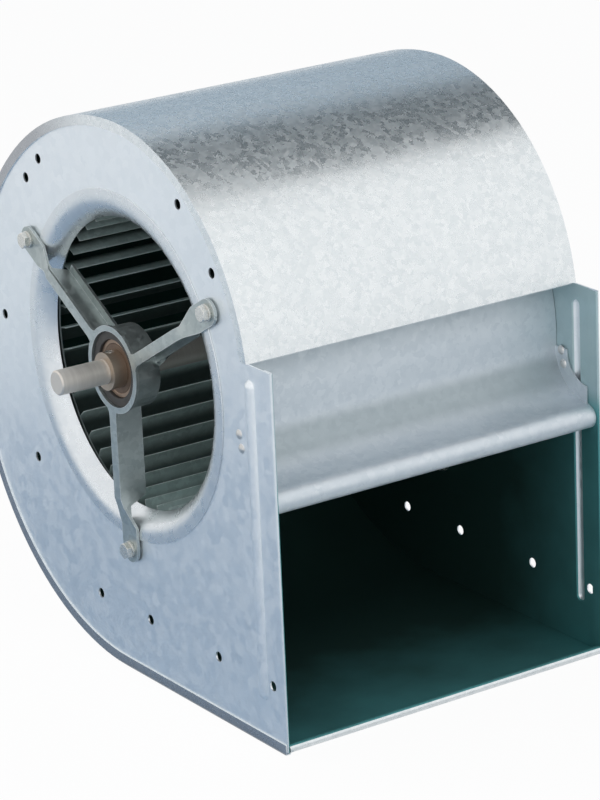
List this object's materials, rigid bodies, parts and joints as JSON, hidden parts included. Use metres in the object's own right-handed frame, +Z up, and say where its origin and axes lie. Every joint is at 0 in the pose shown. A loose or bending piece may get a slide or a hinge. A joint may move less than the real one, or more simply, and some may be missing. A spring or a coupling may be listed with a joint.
{
  "type": "double-inlet centrifugal blower",
  "caption": "Galvanised scroll-housed centrifugal blower with a forward-curved squirrel-cage wheel on a through shaft carried by three-armed bearing brackets in both inlets.",
  "frame": {"origin": "middle of the base, on the plane it stands on", "axes": "+X along the shaft, to the right as seen from in front of the outlet, the outlet faces -Y, +Z up"},
  "size_m": [0.366, 0.38, 0.389],
  "materials": {
    "plate_zinc": "galvanised, fine spangle",
    "wrapper_zinc": "galvanised, fine spangle",
    "cone_zinc": "galvanised, spun and bright",
    "bracket_zinc": "galvanised, dulled",
    "fastener_steel": "zinc plated",
    "rubber": "matte, dusty",
    "bearing_steel": "oiled, browned",
    "ball_steel": "polished",
    "shaft_steel": "ground, oiled",
    "wheel_steel": "galvanised",
    "blade_steel": "galvanised, dark with dust"
  },
  "bodies": {
    "housing": {"side_plate_left": "plate_zinc", "side_plate_right": "plate_zinc", "scroll_wrapper": "wrapper_zinc", "cutoff_plate": "wrapper_zinc", "cutoff_rivets": "fastener_steel", "inlet_cone_left": "cone_zinc", "inlet_cone_right": "cone_zinc", "bearing_bracket_left": "bracket_zinc", "bearing_bracket_right": "bracket_zinc", "bracket_bolts_left": "fastener_steel", "bracket_bolts_right": "fastener_steel", "bracket_washers_left": "fastener_steel", "bracket_washers_right": "fastener_steel", "bracket_nuts_left": "fastener_steel", "bracket_nuts_right": "fastener_steel", "rubber_ring_left": "rubber", "rubber_ring_right": "rubber", "bearing_outer_ring_left": "bearing_steel", "bearing_outer_ring_right": "bearing_steel", "bearing_seals_left": "bearing_steel", "bearing_seals_right": "bearing_steel"},
    "rotor": {"shaft": "shaft_steel", "wheel_disc": "wheel_steel", "wheel_hub": "wheel_steel", "hub_rivets": "fastener_steel", "hub_screws": "fastener_steel", "bearing_inner_ring_left": "bearing_steel", "bearing_inner_ring_right": "bearing_steel", "locking_collar_left": "shaft_steel", "locking_collar_right": "shaft_steel", "collar_screw_left": "fastener_steel", "collar_screw_right": "fastener_steel", "blades_left": "blade_steel", "blades_right": "blade_steel", "end_ring_left": "wheel_steel", "end_ring_right": "wheel_steel"},
    "cage_left": {"bearing_balls_left": "ball_steel", "bearing_cage_left": "ball_steel"},
    "cage_right": {"bearing_balls_right": "ball_steel", "bearing_cage_right": "ball_steel"}
  },
  "joints": [
    {"name": "wheel_spin", "type": "hinge", "parent": "housing", "child": "rotor", "pos_m": [0, -0.013, 0.22], "axis": [-1, 0, 0], "continuous": true},
    {"name": "cage_left_spin", "type": "hinge", "parent": "housing", "child": "cage_left", "pos_m": [0, -0.013, 0.22], "axis": [-1, 0, 0], "continuous": true},
    {"name": "cage_right_spin", "type": "hinge", "parent": "housing", "child": "cage_right", "pos_m": [0, -0.013, 0.22], "axis": [-1, 0, 0], "continuous": true}
  ],
  "couplings": [
    {"joint": "cage_left_spin", "follows": "wheel_spin", "ratio": 0.3825},
    {"joint": "cage_right_spin", "follows": "wheel_spin", "ratio": 0.3825}
  ]
}
